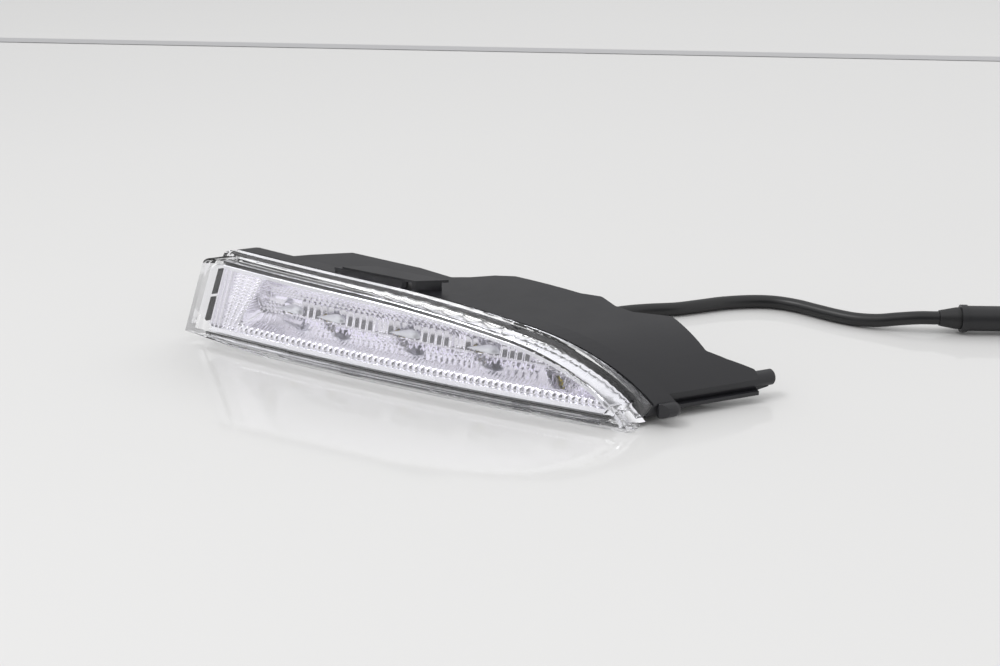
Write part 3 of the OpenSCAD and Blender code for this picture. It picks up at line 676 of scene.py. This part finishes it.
def arc_points(centre, radius, first, last, steps):
    """Points (n, z) on an arc of the rim outline, from the turn first to the turn last."""
    turns = [first + (last - first) * k / steps for k in range(steps + 1)]
    return [(centre[0] + radius * math.sin(turn), centre[1] + radius * math.cos(turn)) for turn in turns]


def rim_path(inset):
    """Points (n, z) along the rim outline moved in by inset, from the left end round the nose."""
    start = (LENS_H - inset) * math.tan(LEFT_LEAN) + inset / math.cos(LEFT_LEAN) + LEDGE_START
    slope = [start + (SHOULDER_N - start) * k / SLOPE_STEPS for k in range(SLOPE_STEPS)]
    path = [(n, rim_top(n, inset)) for n in slope]
    path += arc_points(SHOULDER_C, SHOULDER_R - inset, TOP_SLOPE, NOSE_TURN, SHOULDER_STEPS)[:-1]
    return path + arc_points(NOSE_C, NOSE_R - inset, NOSE_TURN, LEDGE_END, NOSE_STEPS)


def add_ledge():
    """The reflector's upper frame: a bright ledge along the rim outline."""
    lines = [[swept(n, z, depth) for n, z in rim_path(inset)] for inset, depth in LEDGE]
    points = [point for ring in zip(*lines) for point in ring]
    faces = loft_faces(len(lines[0]), len(LEDGE))
    add_mesh("reflector_ledge", points, faces, "mirror_coat", "ledge_coat", EDGED)


def add_lower_lip():
    """The reflector's lower frame: a smooth bright band from the bead row down to the lens floor."""
    points = []
    for k in range(LIP_STEPS + 1):
        x = LIP_LEFT + (LIP_RIGHT - LIP_LEFT) * k / LIP_STEPS
        points += [on_arc(x, depth, BEAD_Z + z) for z, depth in LIP]
    faces = loft_faces(LIP_STEPS + 1, len(LIP))
    add_mesh("reflector_lip", points, faces, "mirror_coat", "ledge_coat", EDGED)


def add_seam(name, low, high):
    """A dark strip behind the lens's left wall, between two heights."""
    points = []
    for k in range(SEAM_STEPS + 1):
        z = low + (high - low) * k / SEAM_STEPS
        edge = z * math.tan(LEFT_LEAN)
        points += [swept(edge + inset / math.cos(LEFT_LEAN), z, depth) for inset, depth in SEAM]
    add_mesh(name, points, loft_faces(SEAM_STEPS + 1, len(SEAM)), "seal_rubber")


# LEDs: the package's section as (height over the board, share of its width), and the dome on it
PACKAGE = ((0.02, 1), (0.62, 1), (0.8, 0.9))
DOME_R, DOME_H, DOME_BASE = 1.35, 1.65, 0.75
DOME_RINGS, DOME_SIDES = 10, 32

# Hoods: left end and length along the lens, where along it the leaf is widest and how it tapers
HOOD_LEFT, HOOD_L, HOOD_WIDEST, HOOD_TAPER = -4.8, 16.4, 0.68, 0.9
LEAST_SWELL = 0.04
# A hood's lower edge over the LED, the rise of that edge and the leaf's greatest height
HOOD_LOW, HOOD_RISE, HOOD_H = 0.9, 0.3, 3.6
# How far a hood stands out of the reflector, its bulge and how round that is, and its wall
HOOD_OUT, HOOD_BULGE, HOOD_ROUND, HOOD_T = 2.6, 2.4, 0.7, 0.5
HOOD_COLUMNS, HOOD_ROWS = 37, 15


def add_led(i):
    """An LED: a white package with bevelled edges and a yellow dome on it."""
    node = f"led_{i + 1}"
    low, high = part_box(node)
    inwards = (low + high) / 2 - on_arc(led_x(i), MIRROR_BACK, LED_Z)
    inwards.z = 0
    inwards.normalize()
    side = UP.cross(inwards)
    base = on_arc(led_x(i), BOARD_FRONT, LED_Z)
    points = []
    for out, share in PACKAGE:
        half = LED_W / 2 * share
        for b, a in CORNERS:
            points.append(base + MM * (half * (a * side + b * UP) - out * inwards))
    faces = loft_faces(len(PACKAGE), len(CORNERS))
    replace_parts(add_mesh(f"{node}_package", points, faces, "led_package", "led_ceramic"), node)
    points = []
    for k in range(DOME_RINGS):
        lift = math.pi / 2 * k / DOME_RINGS
        for m in range(DOME_SIDES):
            turn = 2 * math.pi * m / DOME_SIDES
            out = DOME_R * math.cos(lift) * (math.cos(turn) * side - math.sin(turn) * UP)
            points.append(base + MM * (out - (DOME_BASE + DOME_H * math.sin(lift)) * inwards))
    last, tip = (DOME_RINGS - 1) * DOME_SIDES, len(points)
    points.append(base - MM * (DOME_BASE + DOME_H) * inwards)
    faces = wall_faces(DOME_RINGS, DOME_SIDES) + [tuple(range(DOME_SIDES))[::-1]]
    faces += [(last + m, last + (m + 1) % DOME_SIDES, tip) for m in range(DOME_SIDES)]
    add_mesh(f"{node}_dome", points, faces, "led_package", smooth=ALL_ROUND)


def hood_swell(t):
    """Share of the leaf's greatest height at t along it: nearly straight to the widest place, then round."""
    if t < HOOD_WIDEST:
        swell = (t / HOOD_WIDEST) ** HOOD_TAPER
    else:
        swell = math.sqrt(max(0, 1 - ((t - HOOD_WIDEST) / (1 - HOOD_WIDEST)) ** 2))
    return max(swell, LEAST_SWELL)


def add_hood(i):
    """A leaf-shaped hood over an LED: pointed at the left, round at the right."""
    points = []
    for b in range(HOOD_ROWS):
        v = b / (HOOD_ROWS - 1)
        for a in range(HOOD_COLUMNS):
            t = a / (HOOD_COLUMNS - 1)
            swell = hood_swell(t)
            z = LED_Z + HOOD_LOW + HOOD_RISE * t + HOOD_H * swell * v
            out = HOOD_OUT + HOOD_BULGE * swell * math.cos(math.pi / 2 * v) ** HOOD_ROUND
            points.append(on_arc(led_x(i) + HOOD_LEFT + HOOD_L * t, MIRROR_BACK - out, z))
    faces = grid_faces(HOOD_ROWS, HOOD_COLUMNS)
    hood = add_mesh(f"hood_{i + 1}", points, faces, "mirror_coat", "hood_satin", ALL_ROUND)
    shell = hood.modifiers.new("wall", "SOLIDIFY")
    shell.thickness = HOOD_T * MM
    shell.offset = -1


# Smoothed CAD pieces: points closer than WELD are joined, and edges over EDGE_ANGLE rounded by EDGE_BEVEL
WELD = 0.002
SMOOTH_ANGLE = 12
EDGE_ANGLE = 50
EDGE_BEVEL = 0.25


def smooth_copy(node, name, bevel=0.0):
    """A copy of a CAD node with its facets smoothed and, if asked, its edges rounded."""
    copy = add_object(name, NODES[node].data.copy())
    mesh = bmesh.new()
    mesh.from_mesh(copy.data)
    bmesh.ops.remove_doubles(mesh, verts=mesh.verts, dist=WELD * MM)
    bmesh.ops.dissolve_degenerate(mesh, edges=mesh.edges, dist=WELD * MM)
    mesh.to_mesh(copy.data)
    mesh.free()
    copy.data.shade_smooth()
    copy.data.set_sharp_from_angle(angle=math.radians(SMOOTH_ANGLE))
    if bevel:
        edges = copy.modifiers.new("edges", "BEVEL")
        edges.width = bevel * MM
        edges.segments = 2
        edges.limit_method = "ANGLE"
        edges.angle_limit = math.radians(EDGE_ANGLE)
    even = copy.modifiers.new("even", "WEIGHTED_NORMAL")
    even.keep_sharp = True
    even.weight = 100
    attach(copy, "root")
    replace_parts(copy, node)
    paint(copy, SLOTS[node])


# Floor, in metres, and the table's far edge, in millimetres: a grey line across the background
FLOOR_COLOR = (0.705, 0.703, 0.7)
FLOOR_HALF = 2.5
FLOOR_WAVES = 3
FLOOR_GLOSS = (0.06, 0.09)
EDGE_COLOR = (0.42, 0.42, 0.43)
EDGE_MIDDLE = Vector((-178.7, 618.9))
EDGE_RUN = Vector((0.914, 0.406))
EDGE_HALF_L, EDGE_HALF_W = 2000, 8
EDGE_Z = 0.4

# Lamps, in metres of the frame: place, size, power, and whether shiny surfaces show it
LAMPS = {
    "key": ((-0.5, -0.5, 1.4), (0.6, 0.5), 6, True),
    "back": ((0.2, 1.3, 1.1), (1.8, 0.6), 5, False),
}

# Brightness of the room from the far side (0) to the camera's side (1)
WORLD_LEVELS = ((0.1, 0.5), (0.3, 1.0), (0.9, 1.0), (0.975, 0.15))
CAMERA_SIDE = (0.45, -0.85, 0.27)


def add_stage():
    material, tree, shader = new_material("floor")
    shader.inputs["Base Color"].default_value = (*FLOOR_COLOR, 1)
    slow = add_noise(tree, FLOOR_WAVES)
    tree.links.new(spread(tree, slow.outputs["Fac"], *FLOOR_GLOSS), shader.inputs["Roughness"])
    add_ground("floor", [(a * FLOOR_HALF, b * FLOOR_HALF, 0) for a, b in CORNERS], material)
    across = Vector((-EDGE_RUN.y, EDGE_RUN.x))
    places = [EDGE_MIDDLE + a * EDGE_HALF_L * EDGE_RUN + b * EDGE_HALF_W * across for a, b in CORNERS]
    add_ground("table_edge", [to_frame(place.x, place.y, EDGE_Z) for place in places],
               plain_material("table_edge", EDGE_COLOR, 0.5, grain=200, bump=0.02))


def add_lamp(name, place, size, power, glossy):
    """A softbox turned to the frame's origin."""
    data = bpy.data.lights.new(name, "AREA")
    data.shape = "RECTANGLE"
    data.size, data.size_y = size
    data.energy = power
    lamp = add_object(name, data)
    lamp.location = place
    lamp.visible_glossy = glossy
    lamp.rotation_euler = (-Vector(place)).to_track_quat("-Z", "Y").to_euler()


def add_room():
    """A pale room, dark on the camera's side and a little darker on the far side."""
    world = bpy.data.worlds.new("world")
    bpy.context.scene.world = world
    world.use_nodes = True
    tree = world.node_tree
    way = add_node(tree, "ShaderNodeTexCoord")
    toward = add_node(tree, "ShaderNodeVectorMath", operation="DOT_PRODUCT")
    toward.inputs[1].default_value = CAMERA_SIDE
    tree.links.new(way.outputs["Generated"], toward.inputs[0])
    level = add_node(tree, "ShaderNodeMapRange")
    level.inputs["From Min"].default_value = -1
    tree.links.new(toward.outputs["Value"], level.inputs["Value"])
    ramp = add_node(tree, "ShaderNodeValToRGB")
    ramp.color_ramp.interpolation = "EASE"
    stops = ramp.color_ramp.elements
    stops[0].position, stops[1].position = WORLD_LEVELS[0][0], WORLD_LEVELS[-1][0]
    for place, _ in WORLD_LEVELS[1:-1]:
        stops.new(place)
    for stop, (_, value) in zip(stops, WORLD_LEVELS):
        stop.color = (value, value, value, 1)
    tree.links.new(level.outputs["Result"], ramp.inputs["Fac"])
    tree.links.new(ramp.outputs["Color"], tree.nodes["Background"].inputs["Color"])


for name, node in NODES.items():
    paint(node, SLOTS[name])
add_camera()
add_cable()
add_reflector()
add_ledge()
add_lower_lip()
for name, heights in SEAMS.items():
    add_seam(name, *heights)
for i in LEDS:
    add_hood(i)
    add_led(i)
smooth_copy("outer_lens", "lens_moulding")
smooth_copy("housing", "housing_moulding", bevel=EDGE_BEVEL)
add_stage()
for name, values in LAMPS.items():
    add_lamp(name, *values)
add_room()
bpy.context.scene.view_settings.view_transform = "Standard"
